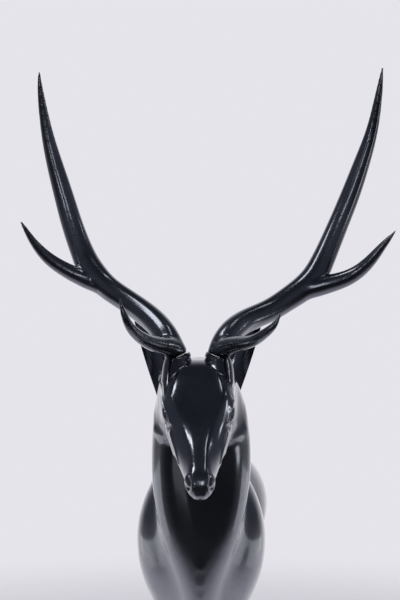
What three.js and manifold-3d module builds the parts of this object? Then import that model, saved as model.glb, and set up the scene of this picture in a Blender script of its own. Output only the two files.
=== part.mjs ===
// Bronze stag on a low plinth, looking along -Y, with +Z up and the origin under the middle of the plinth.
// The stag is one casting. The antlers are castings of their own that seat on its two pedicles.
import * as THREE from 'three';
import { mergeVertices } from 'three/addons/utils/BufferGeometryUtils.js';
import Module from 'manifold-3d';

const wasm = await Module();
wasm.setup();

// Driving dimensions in millimetres
const shoulderHeight = 374;
const plinthThickness = 20;
const plinthEndMargin = 42;
const plinthSideMargin = 36;
const plinthCornerRadius = 34;
const plinthEdgeRadius = 2.5;
const collarStep = 1.1;
const seatGap = 0.3;

// How finely each form is faceted: the sides of its hoops, and the hoops to each row
const rowSteps = 2;
const trunkSides = 24;
const headSides = 20;
const legSides = 10;
const tailSides = 12;
const postSides = 10;
const beamSides = 12;
const tineSides = 10;
const collarSides = 20;
const trimSides = 16;
const detailSides = 8;
const detailRings = 6;
const plinthEdgeSteps = 2;
const plinthCornerSteps = 5;

// The stag keeps its pose and proportions as shares of its shoulder height, in hundredths.
// Lengths run in X to its left side, in Y to its tail and in Z up from its soles.
const share = shoulderHeight / 100;
const soleLevel = plinthThickness + seatGap;

// Trunk and neck, as hoops from rump to throat.
// Each row: top Y and Z, low Y and Z, half width, share of the height where it is widest,
// roundness above and below that level, and how far the hoop is shifted in X.
const trunkRows = [
  [58.0, 85.0, 58.2, 77.0, 4.5, 0.50, 1.0, 1.0, 0.6],
  [56.2, 90.0, 56.8, 69.5, 10.6, 0.54, 0.9, 1.0, 0.7],
  [51.4, 94.6, 51.6, 64.0, 14.9, 0.54, 0.85, 1.0, 0.8],
  [43.0, 97.4, 42.5, 62.0, 16.5, 0.53, 0.80, 1.0, 0.8],
  [32.0, 97.6, 30.5, 63.5, 15.0, 0.52, 0.85, 1.0, 0.5],
  [19.5, 96.0, 17.0, 61.0, 13.4, 0.50, 0.95, 1.0, 0.2],
  [6.5, 95.4, 3.0, 57.0, 13.9, 0.50, 1.0, 1.1, 0.1],
  [-7.0, 96.8, -12.0, 54.8, 13.9, 0.54, 1.05, 1.2, 0.1],
  [-17.5, 99.8, -27.0, 55.0, 13.9, 0.58, 1.1, 1.5, 0.1],
  [-24.2, 103.4, -39.5, 59.0, 13.8, 0.57, 1.1, 1.7, 0.1],
  [-28.6, 107.4, -46.5, 69.0, 13.0, 0.52, 1.05, 1.75, 0.1],
  [-31.8, 111.4, -49.5, 79.0, 11.9, 0.50, 1.0, 1.6, 0.2],
  [-34.5, 115.3, -50.5, 88.5, 11.4, 0.50, 1.0, 1.3, 0.3],
  [-37.2, 118.9, -50.7, 97.5, 11.0, 0.50, 1.0, 1.0, 0.3],
  [-40.0, 122.6, -51.2, 105.5, 10.3, 0.52, 1.05, 1.0, 0.1],
  [-43.4, 126.0, -52.4, 111.5, 9.1, 0.52, 1.15, 1.0, -0.1],
  [-47.0, 125.2, -54.5, 115.0, 7.0, 0.52, 1.1, 1.0, -0.3],
];

// Muscles, seen from the side. A swell pushes the flanks out: Y and Z of its middle, its reach along
// both, and its height.
const swells = [
  [-28, 80, 13, 22, 1.4],
  [-22, 61, 6, 8, 0.5],
  [5, 77, 22, 19, 0.6],
  [44, 79, 14, 20, 0.8],
];
// A furrow draws the flanks in: its places in Y and Z, its half width and its depth.
const furrows = [
  [[[-30, 112], [-34, 104], [-37, 97], [-39.5, 90], [-41.5, 83], [-42.5, 76], [-41, 69], [-36, 62]], 4.2, 2.8],
  [[[-14, 95], [-10, 84], [-11, 72], [-16, 60]], 4.5, 0.9],
  [[[27, 94], [28, 84], [31, 74], [34, 64]], 4.5, 1.1],
];
// The half width of the middle of the body, where muscles fade out
const middleReach = 6;

// Head, as hoops square to its axis from the back of the skull to the nose.
// The axis starts at the poll and drops forward by the head's pitch.
// Each row: distance along the axis, top and low offset from it, half width, share of the height where
// it is widest, roundness above and below, and half width of the flat bridge along the face.
const poll = [-46.8, 125.6];
const headPitch = THREE.MathUtils.degToRad(40);
// The head is turned a little to the stag's left: its shift in X at the poll, and the gain along it.
const headShift = -0.45;
const headTurn = 0.026;
const headRows = [
  [-2.2, -3.6, -8.5, 4.4, 0.60, 1.0, 1.0, 0.0],
  [0.0, -0.1, -12.0, 6.7, 0.64, 1.0, 1.0, 0.5],
  [4.0, 2.3, -14.2, 7.9, 0.68, 1.0, 1.05, 2.0],
  [9.0, 2.8, -14.6, 8.2, 0.70, 1.2, 1.1, 4.0],
  [14.0, 2.2, -14.2, 8.1, 0.70, 1.4, 1.15, 5.3],
  [17.5, 1.3, -13.4, 7.4, 0.66, 1.5, 1.15, 4.3],
  [21.0, 0.5, -12.2, 6.4, 0.60, 1.5, 1.1, 2.7],
  [25.0, 0.0, -10.6, 5.2, 0.56, 1.6, 1.05, 1.7],
  [29.0, -0.1, -9.0, 4.1, 0.52, 1.6, 1.0, 1.35],
  [32.5, 0.0, -7.8, 3.3, 0.52, 1.4, 1.0, 1.2],
  [35.0, -0.3, -6.8, 2.9, 0.54, 1.1, 1.0, 1.1],
  [36.8, -1.2, -6.0, 2.3, 0.54, 0.95, 1.0, 0.7],
  [37.7, -2.5, -4.8, 1.2, 0.54, 1.0, 1.0, 0.0],
];
// How sharply the bridge turns into the sides of the face
const crestTurn = 9;

// Legs, as level hoops from inside the body to the top of the hoof.
// Each row: centre X, Y and Z, half width in X and half width in Y.
const foreLegRows = [
  [8.4, -26.0, 80, 3.6, 9.0],
  [7.6, -27.6, 70, 3.5, 8.2],
  [6.9, -28.6, 61, 3.1, 6.2],
  [6.6, -29.4, 53, 2.75, 4.1],
  [6.3, -30.2, 43, 2.4, 2.9],
  [6.1, -30.7, 35.8, 2.5, 2.9],
  [6.0, -30.3, 30.5, 2.0, 2.2],
  [5.9, -29.9, 21, 1.65, 1.85],
  [5.9, -29.9, 12.5, 1.8, 2.1],
  [5.9, -30.4, 9.4, 2.15, 2.55],
  [5.9, -31.6, 6.2, 1.9, 2.1],
  [5.9, -32.4, 3.6, 2.1, 2.5],
];
const hindLegRows = [
  [9.8, 44.0, 84, 5.6, 11.4],
  [10.2, 43.6, 73, 5.1, 11.6],
  [9.5, 43.0, 63, 4.3, 9.6],
  [8.7, 42.9, 54, 3.3, 6.3],
  [8.1, 46.2, 46, 2.5, 4.0],
  [7.7, 50.2, 38.8, 2.2, 3.5],
  [7.5, 50.4, 33, 2.0, 2.75],
  [7.3, 48.8, 22, 1.7, 2.0],
  [7.2, 47.3, 12.5, 1.85, 2.15],
  [7.2, 46.7, 9.4, 2.2, 2.6],
  [7.2, 45.4, 6.2, 1.95, 2.15],
  [7.2, 44.6, 3.6, 2.1, 2.55],
];
// One claw of a cloven hoof, from inside the leg to the sole.
// Each row: distance from the hoof's middle plane, forward of the leg's end, height,
// half width and half length.
const clawRows = [
  [0.9, -0.3, 5.2, 1.1, 1.6],
  [1.15, 0.3, 3.4, 1.3, 2.5],
  [1.35, 1.3, 0.0, 1.45, 3.4],
];
// How far each leg's foot steps to the tail, by side: +1 is the stag's left.
const foreStep = { 1: -1.4, '-1': 1.6 };
const hindStep = { 1: 1.8, '-1': -1.8 };

const tailRows = [
  [0.6, 53.5, 91.0, 2.3],
  [0.6, 57.0, 89.6, 2.7],
  [0.6, 59.3, 86.0, 2.5],
  [0.6, 60.0, 81.5, 1.9],
  [0.6, 59.8, 77.5, 1.2],
  [0.6, 59.3, 74.8, 0.4],
];

// Ears, as leaf-shaped cups. Each row: centre X, Y and Z, half width, thickness and depth of the cup.
const earRows = [
  [6.8, -44.6, 115.8, 2.3, 2.6, 0.0],
  [7.6, -43.8, 119.4, 2.75, 2.0, 0.8],
  [8.8, -42.0, 123.2, 3.0, 1.2, 1.8],
  [10.3, -39.8, 127.2, 2.9, 0.8, 2.0],
  [12.0, -37.4, 131.2, 2.45, 0.7, 1.5],
  [13.8, -35.2, 134.8, 1.5, 0.6, 0.6],
  [15.2, -33.5, 137.6, 0.3, 0.3, 0.1],
];
// Across the left ear's opening, from its inner rim to its outer rim, and the way the opening faces.
const earAcross = new THREE.Vector3(0.71, 0.46, -0.54).normalize();
const earFacing = new THREE.Vector3(0.63, -0.76, 0.17).normalize();

// The eye, as a bulge: distance along the head's axis, offset from it, centre X, and its half sizes
// along the head, across it and out of the skull.
const eye = { along: 15.4, offset: -2.2, out: 6.6, long: 2.0, tall: 1.2, deep: 1.7 };
const nostril = { along: 35.4, offset: -2.3, out: 2.8, long: 0.9, tall: 0.6, deep: 0.7 };

// What carries an ear: a cone from the skull's side up into the cup. Each row: centre X, Y and Z, and radius.
const earRootRows = [
  [3.6, -50.5, 112.5, 4.8],
  [5.0, -49.0, 116.0, 4.3],
  [6.2, -47.0, 119.3, 3.4],
  [7.8, -44.6, 122.4, 2.7],
  [9.2, -42.8, 125.2, 1.5],
];
// The post below the left collar, down to the brow. Each row: centre X, Y and Z, and radius.
const postRows = [
  [4.4, -49.2, 125.6, 2.7],
  [4.8, -50.4, 122.9, 3.0],
  [5.4, -53.0, 119.7, 2.7],
  [5.8, -56.2, 116.9, 1.8],
  [6.0, -58.8, 114.8, 0.9],
];

// Antlers, as round hoops along each curve. Each row: centre X, Y and Z, and radius.
const leftAntler = {
  side: 1,
  beam: [
    [4.3, -49.2, 125.9, 2.75],
    [5.0, -48.0, 128.5, 2.72],
    [7.1, -45.5, 131.5, 2.79],
    [10.3, -42.0, 133.8, 2.71],
    [15.7, -38.5, 136.0, 2.7],
    [20.6, -36.0, 139.1, 2.8],
    [25.4, -34.0, 142.5, 3.2],
    [28.2, -32.8, 147.3, 2.78],
    [31.9, -31.0, 155.7, 2.45],
    [35.0, -30.5, 163.2, 2.3],
    [37.6, -31.0, 170.6, 1.95],
    [39.9, -32.0, 178.0, 1.42],
    [41.2, -34.0, 186.0, 0.9],
    [41.9, -35.3, 192.0, 0.25],
  ],
  outer: [
    [21.0, -36.0, 139.6, 1.9],
    [24.5, -35.5, 140.8, 2.35],
    [28.4, -35.5, 141.9, 2.25],
    [32.0, -36.0, 142.9, 2.0],
    [35.0, -36.5, 144.2, 1.78],
    [37.5, -37.5, 146.1, 1.55],
    [39.6, -38.5, 148.4, 1.3],
    [41.4, -39.3, 150.7, 0.98],
    [43.0, -40.0, 152.6, 0.62],
    [44.3, -40.5, 154.2, 0.2],
  ],
  brow: [
    [5.0, -49.0, 127.4, 2.4],
    [6.2, -50.9, 128.3, 2.25],
    [8.1, -53.3, 128.9, 1.9],
    [10.0, -56.6, 129.3, 1.5],
    [11.9, -59.5, 129.9, 1.28],
    [13.9, -61.2, 131.3, 1.1],
    [15.8, -62.2, 132.9, 0.84],
    [16.7, -62.4, 134.3, 0.51],
    [17.5, -62.2, 135.8, 0.2],
  ],
};
const rightAntler = {
  side: -1,
  beam: [
    [-4.9, -49.2, 125.9, 2.75],
    [-6.5, -48.0, 129.0, 2.77],
    [-8.3, -45.5, 131.8, 2.79],
    [-11.6, -42.0, 134.9, 2.8],
    [-16.6, -38.5, 138.3, 2.7],
    [-21.4, -36.0, 141.4, 2.8],
    [-25.1, -34.0, 145.0, 3.2],
    [-27.3, -32.5, 149.2, 2.79],
    [-29.9, -31.0, 155.8, 2.57],
    [-32.1, -30.5, 163.3, 2.34],
    [-34.2, -31.0, 170.7, 1.94],
    [-35.9, -32.0, 178.1, 1.4],
    [-37.1, -34.0, 187.1, 0.75],
    [-37.2, -35.0, 191.2, 0.25],
  ],
  outer: [
    [-20.5, -36.0, 140.9, 1.8],
    [-23.3, -35.5, 141.9, 2.15],
    [-26.7, -35.5, 143.4, 2.05],
    [-30.2, -36.0, 145.0, 1.8],
    [-34.6, -37.0, 147.8, 1.5],
    [-38.0, -38.5, 151.6, 0.98],
    [-40.1, -40.0, 155.3, 0.48],
    [-40.8, -40.4, 156.4, 0.2],
  ],
  brow: [
    [-5.6, -49.0, 127.6, 2.4],
    [-6.8, -50.9, 128.3, 2.25],
    [-8.3, -52.9, 128.6, 1.95],
    [-10.0, -55.2, 129.1, 1.7],
    [-11.9, -58.0, 130.1, 1.45],
    [-13.9, -60.5, 131.9, 1.2],
    [-15.1, -62.0, 133.9, 0.95],
    [-15.9, -62.5, 135.9, 0.68],
    [-16.4, -62.5, 137.7, 0.42],
    [-16.7, -62.3, 139.0, 0.2],
  ],
};
const collarLean = new THREE.Vector3(0.42, -0.10, 0.90).normalize();
// The collar's height, its chamfer and the depth of its core below the seat, in shares
const collarHeight = 1.0;
const collarChamfer = 0.3;
const pedicleDepth = 5;
// How far the trim that cuts an antler flat reaches, in radii of the antler
const trimReach = 4;


// The value part of the way from one row to the next, on the smooth curve through four rows
function curveValue(before, from, to, after, t) {
  const leave = (to - before) / 2;
  const arrive = (after - from) / 2;
  const cubic = 2 * (from - to) + leave + arrive;
  const square = 3 * (to - from) - 2 * leave - arrive;
  return ((cubic * t + square) * t + leave) * t + from;
}

// Rows joined by a smooth curve, with the given number of steps from each to the next
function smoothRows(rows, steps) {
  const last = rows.length - 1;
  const smooth = [];
  for (let i = 0; i < last; i += 1) {
    const before = rows[Math.max(i - 1, 0)];
    const after = rows[Math.min(i + 2, last)];
    for (let k = 0; k < steps; k += 1) {
      const valueAt = (value, j) => curveValue(before[j], value, rows[i + 1][j], after[j], k / steps);
      smooth.push(rows[i].map(valueAt));
    }
  }
  smooth.push(rows[last]);
  return smooth;
}

// A closed solid from points and triangles, turned so that its faces look outwards
function solid(points, faces) {
  let volume = 0;
  for (const [a, b, c] of faces) {
    volume += points[a].dot(new THREE.Vector3().crossVectors(points[b], points[c]));
  }
  const outward = volume > 0 ? faces : faces.map(([a, b, c]) => [a, c, b]);
  return new wasm.Manifold(new wasm.Mesh({
    numProp: 3,
    vertProperties: new Float32Array(points.flatMap((point) => point.toArray())),
    triVerts: new Uint32Array(outward.flat()),
  }));
}

// The middle of a hoop
function middle(hoop) {
  const sum = new THREE.Vector3();
  hoop.forEach((point) => sum.add(point));
  return sum.divideScalar(hoop.length);
}

// A closed solid whose skin runs over hoops with the same number of points, sized in shares
function skin(hoops) {
  const sides = hoops[0].length;
  const end = (hoops.length - 1) * sides;
  const points = [...hoops.flat(), middle(hoops[0]), middle(hoops.at(-1))];
  const faces = [];
  for (let k = 0; k < sides; k += 1) {
    const next = (k + 1) % sides;
    for (let start = 0; start < end; start += sides) {
      faces.push([start + k, start + next, start + sides + next]);
      faces.push([start + k, start + sides + next, start + sides + k]);
    }
    faces.push([points.length - 2, next, k]);
    faces.push([points.length - 1, end + k, end + next]);
  }
  return solid(points.map((point) => point.clone().multiplyScalar(share)), faces);
}

// A solid from a closed three.js geometry
function solidOf(geometry) {
  geometry.deleteAttribute('normal');
  geometry.deleteAttribute('uv');
  const merged = mergeVertices(geometry);
  return new wasm.Manifold(new wasm.Mesh({
    numProp: 3,
    vertProperties: merged.attributes.position.array,
    triVerts: new Uint32Array(merged.index.array),
  }));
}

// The angles around a hoop
function turns(sides) {
  return Array.from({ length: sides }, (_, k) => (2 * Math.PI * k) / sides);
}

// How far a place seen from the side is from a line through the given places
function offLine(y, z, places) {
  const place = new THREE.Vector3(0, y, z);
  const line = smoothRows(places, rowSteps).map(([lineY, lineZ]) => new THREE.Vector3(0, lineY, lineZ));
  const gaps = line.slice(1).map((end, i) => (
    new THREE.Line3(line[i], end).closestPointToPoint(place, true, new THREE.Vector3()).distanceTo(place)
  ));
  return Math.min(...gaps);
}

// A point of the trunk, pushed out and drawn in sideways by the muscles
function fleshed(point) {
  let out = 0;
  for (const [y, z, reachY, reachZ, height] of swells) {
    const distance = Math.hypot((point.y - y) / reachY, (point.z - z) / reachZ);
    out += height * Math.max(1 - distance ** 2, 0) ** 1.5;
  }
  for (const [places, width, depth] of furrows) {
    out -= depth * Math.exp(-((offLine(point.y, point.z, places) / width) ** 2));
  }
  return new THREE.Vector3(point.x + Math.tanh(point.x / middleReach) * out, point.y, point.z);
}

// A hoop across the body between a top and a low point of the middle plane. A bridge is the half width
// of a flat crest along its top.
function bodyHoop(top, low, half, widest, upperRound, lowerRound, shift, bridge, sides) {
  return turns(sides).map((angle) => {
    const across = Math.cos(angle);
    const rise = Math.sin(angle);
    const flank = Math.abs(across) ** (rise >= 0 ? upperRound : lowerRound);
    const height = rise >= 0 ? widest + (1 - widest) * rise : widest * (1 + rise);
    const crest = rise >= 0 ? bridge * (Math.tanh(crestTurn * Math.abs(across)) - flank) : 0;
    return new THREE.Vector3(
      shift + Math.sign(across) * (half * flank + crest),
      THREE.MathUtils.lerp(low[0], top[0], height),
      THREE.MathUtils.lerp(low[1], top[1], height),
    );
  });
}

// Y and Z of a place on the head: so far along its axis, and so far off it to the forehead's side
function onHead(along, offset) {
  return [
    poll[0] - along * Math.cos(headPitch) - offset * Math.sin(headPitch),
    poll[1] - along * Math.sin(headPitch) + offset * Math.cos(headPitch),
  ];
}

// The head's middle in X, so far along its axis
function turned(along) {
  return headShift + headTurn * along;
}

function makeTrunk() {
  return skin(smoothRows(trunkRows, rowSteps).map((row) => {
    const [topY, topZ, lowY, lowZ, half, widest, upper, lower, shift] = row;
    return bodyHoop([topY, topZ], [lowY, lowZ], half, widest, upper, lower, shift, 0, trunkSides).map(fleshed);
  }));
}

function makeHead() {
  return skin(smoothRows(headRows, rowSteps).map((row) => {
    const [along, top, low, half, widest, upper, lower, bridge] = row;
    const ends = [onHead(along, top), onHead(along, low)];
    return bodyHoop(...ends, half, widest, upper, lower, turned(along), bridge, headSides);
  }));
}

// A bulge or hollow on one side of the head, longest along the head's axis
function headDetail(detail, side) {
  const [y, z] = onHead(detail.along, detail.offset);
  const ball = new THREE.SphereGeometry(share, detailSides, detailRings);
  ball.scale(detail.deep, detail.long, detail.tall);
  ball.rotateX(headPitch);
  ball.translate((turned(detail.along) + side * detail.out) * share, y * share, z * share);
  return solidOf(ball);
}

// A level elliptical hoop of a leg
function levelHoop(x, y, z, halfX, halfY) {
  return turns(legSides).map((angle) => (
    new THREE.Vector3(x + halfX * Math.cos(angle), y + halfY * Math.sin(angle), z)
  ));
}

// The rows of one leg, moved to its side, with the foot stepped and the body's end left in place
function placedLeg(rows, side, step) {
  const bodyLevel = rows[0][2];
  return rows.map(([x, y, z, halfX, halfY]) => (
    [side * x, y + step * (1 - z / bodyLevel), z, halfX, halfY]
  ));
}

function makeLeg(rows, side, step) {
  const leg = placedLeg(rows, side, step);
  const [footX, footY] = leg.at(-1);
  let made = skin(smoothRows(leg, rowSteps).map((row) => levelHoop(...row)));
  for (const inner of [-1, 1]) {
    const claw = clawRows.map(([out, forward, z, halfX, halfY]) => (
      levelHoop(footX + inner * out, footY - forward, z, halfX, halfY)
    ));
    made = made.add(skin(claw));
  }
  return made;
}

// A round hoop square to a direction
function roundHoop(centre, direction, radius, sides) {
  const turn = new THREE.Quaternion().setFromUnitVectors(new THREE.Vector3(0, 0, 1), direction);
  return turns(sides).map((angle) => (
    new THREE.Vector3(Math.cos(angle), Math.sin(angle), 0)
      .multiplyScalar(radius)
      .applyQuaternion(turn)
      .add(centre)
  ));
}

// A round limb along rows of centre and radius, its first hoop square to a given direction
function makeLimb(rows, steps, sides, firstDirection) {
  const smooth = smoothRows(rows, steps);
  const centres = smooth.map(([x, y, z]) => new THREE.Vector3(x, y, z));
  return skin(smooth.map((row, i) => {
    const ahead = centres[Math.min(i + 1, centres.length - 1)];
    const behind = centres[Math.max(i - 1, 0)];
    const direction = new THREE.Vector3().subVectors(ahead, behind).normalize();
    return roundHoop(centres[i], i === 0 && firstDirection ? firstDirection : direction, row[3], sides);
  }));
}

function makeEar(side) {
  const arc = [-1, -0.6, 0, 0.6, 1];
  const mirror = new THREE.Vector3(side, 1, 1);
  const middlePoint = new THREE.Vector3(headShift, 0, 0);
  return skin(smoothRows(earRows, rowSteps).map(([x, y, z, half, thickness, cup]) => {
    const at = (across, depth) => (
      new THREE.Vector3(x, y, z)
        .addScaledVector(earAcross, across * half)
        .addScaledVector(earFacing, -depth)
        .multiply(mirror)
        .add(middlePoint)
    );
    const front = arc.map((across) => at(across, cup * (1 - across * across)));
    const back = arc.slice(1, -1).reverse().map((across) => {
      const crown = 1 - across * across;
      return at(across, cup * crown + thickness * Math.sqrt(crown));
    });
    return [...front, ...back];
  }));
}

// Where an antler seats: the middle of the collar's face and the way that it looks
function collarOf(antler) {
  const [x, y, z] = antler.beam[0];
  return {
    centre: new THREE.Vector3(x, y, z),
    lean: collarLean.clone().multiply(new THREE.Vector3(antler.side, 1, 1)),
    radius: antler.beam[0][3],
  };
}

// The pedicle: a post out of the brow, and the flat-faced collar that stands out round the antler
function makePedicle(antler) {
  const { centre, lean, radius } = collarOf(antler);
  const collar = radius + collarStep / share;
  const profile = [
    [-pedicleDepth, radius],
    [-collarHeight - collarChamfer, radius],
    [-collarHeight, collar],
    [0, collar],
  ];
  const ring = skin(profile.map(([height, reach]) => (
    roundHoop(centre.clone().addScaledVector(lean, height), lean, reach, collarSides)
  )));
  const shift = antler.beam[0][0] - antler.side * postRows[0][0];
  const post = postRows.map(([x, y, z, reach]) => [antler.side * x + shift, y, z, reach]);
  return ring.add(makeLimb(post, 1, postSides, lean.clone().negate()));
}

// The cone that carries an ear
function makeEarRoot(side) {
  return makeLimb(earRootRows.map(([x, y, z, reach]) => [side * x + headShift, y, z, reach]), 1, postSides);
}

// One antler, trimmed flat so that it seats on its collar with the gap
function makeAntler(antler) {
  const { centre, lean, radius } = collarOf(antler);
  const foot = centre.clone().addScaledVector(lean, seatGap / share);
  const beam = makeLimb(antler.beam, rowSteps, beamSides, lean);
  const whole = beam.add(makeLimb(antler.outer, 1, tineSides)).add(makeLimb(antler.brow, 1, tineSides));
  const reach = trimReach * radius;
  const below = foot.clone().addScaledVector(lean, -reach);
  const trim = skin([below, foot].map((place) => roundHoop(place, lean, reach, trimSides)));
  return whole.subtract(trim);
}

// A named mesh from a solid
function meshOf(name, made, material) {
  const { vertProperties, triVerts } = made.getMesh();
  const geometry = new THREE.BufferGeometry();
  geometry.setAttribute('position', new THREE.BufferAttribute(new Float32Array(vertProperties), 3));
  geometry.setIndex(new THREE.BufferAttribute(new Uint32Array(triVerts), 1));
  geometry.computeVertexNormals();
  const mesh = new THREE.Mesh(geometry, material);
  mesh.name = name;
  return mesh;
}

function bronze(color) {
  return new THREE.MeshStandardMaterial({ color, roughness: 0.16, metalness: 0.55 });
}

function makeBody() {
  let body = makeTrunk().add(makeHead()).add(makeLimb(tailRows, rowSteps, tailSides));
  for (const side of [-1, 1]) {
    body = body.add(makeLeg(foreLegRows, side, foreStep[side]));
    body = body.add(makeLeg(hindLegRows, side, hindStep[side]));
    body = body.add(makeEarRoot(side)).add(makeEar(side));
    body = body.add(headDetail(eye, side));
    body = body.subtract(headDetail(nostril, side));
  }
  return body.add(makePedicle(leftAntler)).add(makePedicle(rightAntler));
}

// The floor space that the hooves take, in shares
function stance() {
  const sole = clawRows.at(-1);
  const feet = [-1, 1].flatMap((side) => [
    placedLeg(foreLegRows, side, foreStep[side]).at(-1),
    placedLeg(hindLegRows, side, hindStep[side]).at(-1),
  ]);
  return {
    front: Math.min(...feet.map(([, y]) => y - sole[1] - sole[4])),
    back: Math.max(...feet.map(([, y]) => y - sole[1] + sole[4])),
    side: Math.max(...feet.map(([x]) => Math.abs(x) + sole[0] + sole[3])),
  };
}

// The plinth: a slab with round corners and softened edges that reaches past the hooves all round
function makePlinth(feet) {
  const length = (feet.back - feet.front) * share + 2 * plinthEndMargin;
  const width = 2 * feet.side * share + 2 * plinthSideMargin;
  const cornerX = width / 2 - plinthCornerRadius;
  const cornerY = length / 2 - plinthCornerRadius;
  const outline = new THREE.Shape();
  outline.absarc(cornerX, cornerY, plinthCornerRadius, 0, Math.PI / 2);
  outline.absarc(-cornerX, cornerY, plinthCornerRadius, Math.PI / 2, Math.PI);
  outline.absarc(-cornerX, -cornerY, plinthCornerRadius, Math.PI, 1.5 * Math.PI);
  outline.absarc(cornerX, -cornerY, plinthCornerRadius, 1.5 * Math.PI, 2 * Math.PI);
  const slab = new THREE.ExtrudeGeometry(outline, {
    depth: plinthThickness - 2 * plinthEdgeRadius,
    bevelThickness: plinthEdgeRadius,
    bevelSize: plinthEdgeRadius,
    bevelOffset: -plinthEdgeRadius,
    bevelSegments: plinthEdgeSteps,
    curveSegments: plinthCornerSteps,
  });
  slab.translate(0, 0, plinthEdgeRadius);
  return solidOf(slab);
}

const feet = stance();
const stag = new THREE.Group();
stag.position.set(0, (-share * (feet.front + feet.back)) / 2, soleLevel);
stag.add(meshOf('deer_body', makeBody(), bronze(0x12141a)));
stag.add(meshOf('antler_left', makeAntler(leftAntler), bronze(0x14171f)));
stag.add(meshOf('antler_right', makeAntler(rightAntler), bronze(0x14171f)));

const group = new THREE.Group();
group.add(stag);
group.add(meshOf('base', makePlinth(feet), bronze(0x101217)));

export default group;
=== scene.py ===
# %% [markdown]
# # A polished bronze stag
# The real thing is a hollow bronze casting, chased smooth, given a blue-black patina and waxed until it
# mirrors the room. Its two antlers are castings of their own, seated on the stag's brow, and it stands on
# a low bronze plinth. All of its charm is in long unbroken curves, so the mesh has to be calm: any ripple
# would show as a kink in a reflection.
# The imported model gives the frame, so every size below is worked out from it.

# %% Load the frame
import math

import bmesh
import bpy
import numpy as np
from mathutils import Matrix, Vector


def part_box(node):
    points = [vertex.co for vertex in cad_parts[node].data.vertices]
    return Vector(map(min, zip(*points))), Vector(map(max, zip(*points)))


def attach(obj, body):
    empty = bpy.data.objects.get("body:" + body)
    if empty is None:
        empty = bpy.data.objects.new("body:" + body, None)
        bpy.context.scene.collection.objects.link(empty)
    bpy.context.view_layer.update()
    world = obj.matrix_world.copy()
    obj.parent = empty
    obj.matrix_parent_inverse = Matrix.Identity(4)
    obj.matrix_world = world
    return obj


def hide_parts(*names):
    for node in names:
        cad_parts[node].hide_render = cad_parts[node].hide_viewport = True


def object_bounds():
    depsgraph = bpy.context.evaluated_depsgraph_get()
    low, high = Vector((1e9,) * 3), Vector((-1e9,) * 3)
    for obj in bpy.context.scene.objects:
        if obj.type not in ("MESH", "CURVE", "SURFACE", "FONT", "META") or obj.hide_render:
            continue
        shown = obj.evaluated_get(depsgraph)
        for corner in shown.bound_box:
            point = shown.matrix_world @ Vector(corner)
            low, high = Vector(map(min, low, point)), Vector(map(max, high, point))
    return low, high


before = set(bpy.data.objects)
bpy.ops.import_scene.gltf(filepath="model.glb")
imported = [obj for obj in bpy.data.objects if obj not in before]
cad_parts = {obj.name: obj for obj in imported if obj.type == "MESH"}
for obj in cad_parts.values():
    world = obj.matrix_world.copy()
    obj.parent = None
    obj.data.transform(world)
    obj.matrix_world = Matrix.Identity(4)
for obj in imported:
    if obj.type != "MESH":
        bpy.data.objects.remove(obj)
cad_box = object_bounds()
cad_low, cad_high = ([round(value, 3) for value in corner] for corner in cad_box)
print("The packed model reaches from", cad_low, "to", cad_high)

# %% [markdown]
# The photograph was taken level with the antlers' roots, by a short telephoto lens a little to one side.
# A camera is placed first, because every form below is judged through it.

# %% Camera
CAMERA_PLACE = Vector((0.01814, -1.37068, 0.53829))
CAMERA_AIM = Vector((0.00041, -0.19370, 0.53829))
LENS_MM = 85
SENSOR_MM = 36

lens = bpy.data.cameras.new("camera")
lens.lens = LENS_MM
lens.sensor_width = SENSOR_MM
camera = bpy.data.objects.new("camera", lens)
camera.location = CAMERA_PLACE
camera.rotation_euler = (CAMERA_AIM - CAMERA_PLACE).to_track_quat("-Z", "Y").to_euler()
bpy.context.scene.collection.objects.link(camera)
bpy.context.scene.camera = camera
print("The camera stands", round((CAMERA_AIM - CAMERA_PLACE).length, 3), "m from the stag's brow")

# %% [markdown]
# A sculptor keeps an animal's proportions as shares of its shoulder height. So does this script: a share
# is a hundredth of it. X runs to the stag's left, Y to its tail and Z up from its soles.
# The forms are rows of numbers, a row for each place where the shape turns. Between the rows the values
# follow a smooth curve, which is then eased, so that its bends have no corners.

# %% Shares and smooth rows
SHOULDER_HEIGHT = 0.374
SHARE = SHOULDER_HEIGHT / 100
SOLE_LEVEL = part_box("deer_body")[0].z


def smooth_rows(rows, steps, passes=0):
    """Rows joined by a smooth curve, steps to each row, and eased by that many passes."""
    rows = np.array(rows, float)
    before = np.vstack([rows[:1], rows[:-2]])
    start, end = rows[:-1], rows[1:]
    after = np.vstack([rows[2:], rows[-1:]])
    leave, arrive = (end - before) / 2, (after - start) / 2
    made = []
    for t in np.arange(steps) / steps:
        made.append(((2 * (start - end) + leave + arrive) * t + 3 * (end - start) - 2 * leave - arrive) * t)
        made[-1] = (made[-1] + leave) * t + start
    smooth = np.vstack([np.stack(made, 1).reshape(-1, rows.shape[1]), rows[-1:]])
    for _ in range(passes):
        smooth[1:-1] += (smooth[:-2] + smooth[2:] - 2 * smooth[1:-1]) / 4
    return smooth


print("One share is", round(SHARE * 1000, 2), "mm")

# %% [markdown]
# A body is skinned over hoops, as a basket is woven over ribs. The cap of the first hoop is extruded to the
# next, and its corners are set on it, until the last. A round end gets a few smaller hoops, as a dome.

# %% Skin over hoops
DOME_STEPS = 5


def only(piece):
    """Selects one piece and nothing else."""
    bpy.ops.object.select_all(action="DESELECT")
    piece.select_set(True)
    bpy.context.view_layer.objects.active = piece


def turns(sides):
    """The angles around a hoop."""
    return np.arange(sides) * 2 * math.pi / sides


def dome(hoops, bulge):
    """Smaller and smaller hoops past the last one, which round its end off by bulge."""
    last = hoops[-1]
    middle = last.mean(0)
    ahead = middle - hoops[-2].mean(0)
    ahead /= np.linalg.norm(ahead)
    angles = np.arange(1, DOME_STEPS + 1) / (DOME_STEPS + 1) * math.pi / 2
    return [middle + (last - middle) * math.cos(a) + ahead * bulge * math.sin(a) for a in angles]


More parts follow.
